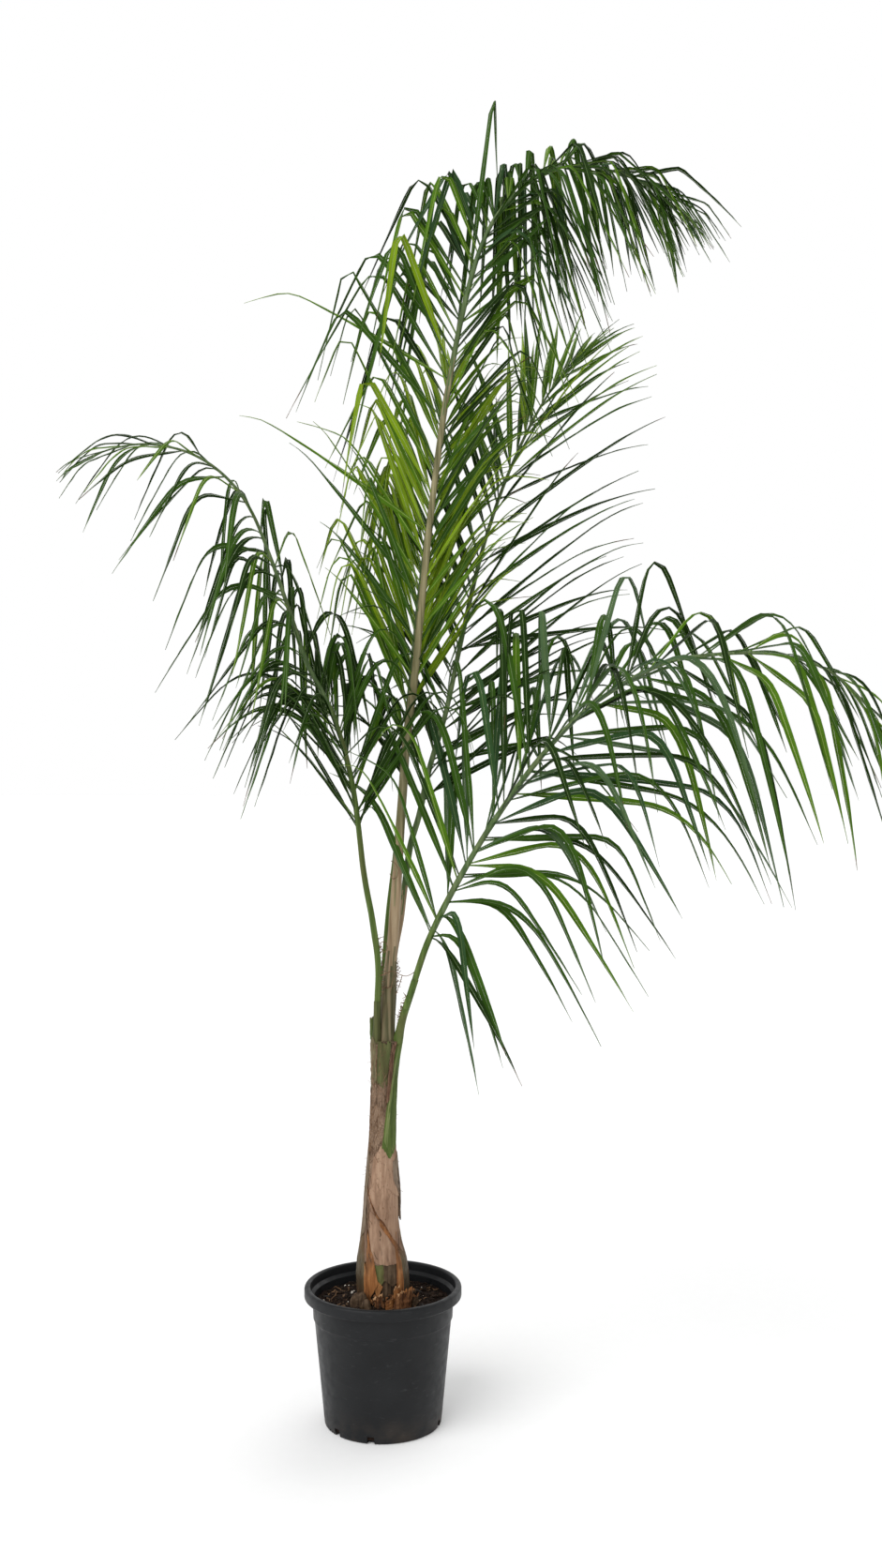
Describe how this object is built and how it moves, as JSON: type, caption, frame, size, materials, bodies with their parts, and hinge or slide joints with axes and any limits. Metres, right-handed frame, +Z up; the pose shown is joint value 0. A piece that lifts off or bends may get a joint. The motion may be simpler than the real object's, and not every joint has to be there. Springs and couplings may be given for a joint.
{
  "type": "potted queen palm",
  "caption": "Young queen palm with a swollen sheathed trunk and arching feather fronds, standing in soil in a round black plastic nursery pot.",
  "frame": {"origin": "centre of the pot's flat underside, on the floor", "axes": "+Z up along the pot's axis; +X towards the side where the longest low frond reaches, seen from the front; -Y is the front"},
  "size_m": [1.6079, 1.2584, 2.683],
  "materials": {
    "pot_plastic": "satin charcoal moulded plastic with light scuffs",
    "soil": "damp crumbly potting soil with pale flecks",
    "bark": "dry papery leaf bases with ragged edges",
    "sheath": "matt leaf sheath, brown to olive",
    "petiole": "smooth satin green stalk",
    "leaf": "satin dark green leaflets",
    "leaf_young": "satin yellow-green leaflets"
  },
  "bodies": {
    "root": {"pot": "pot_plastic", "soil": "soil", "trunk": "bark", "foot_sheath_left": "sheath", "foot_sheath_right": "sheath", "foot_sheath_back": "sheath", "green_sheath": "petiole", "old_base_left": "bark", "old_base_front": "bark", "cut_petiole": "bark", "stem_sheath": "sheath", "petiole_tall": "petiole", "petiole_left": "petiole", "petiole_right": "petiole", "petiole_back": "petiole", "petiole_young": "petiole", "frond_tall_lower": "leaf", "frond_tall_arch": "leaf", "frond_left_lower": "leaf", "frond_left_tip": "leaf", "frond_right_lower": "leaf", "frond_right_tip": "leaf", "frond_back_lower": "leaf", "frond_back_tip": "leaf", "frond_young": "leaf_young"}
  },
  "joints": []
}
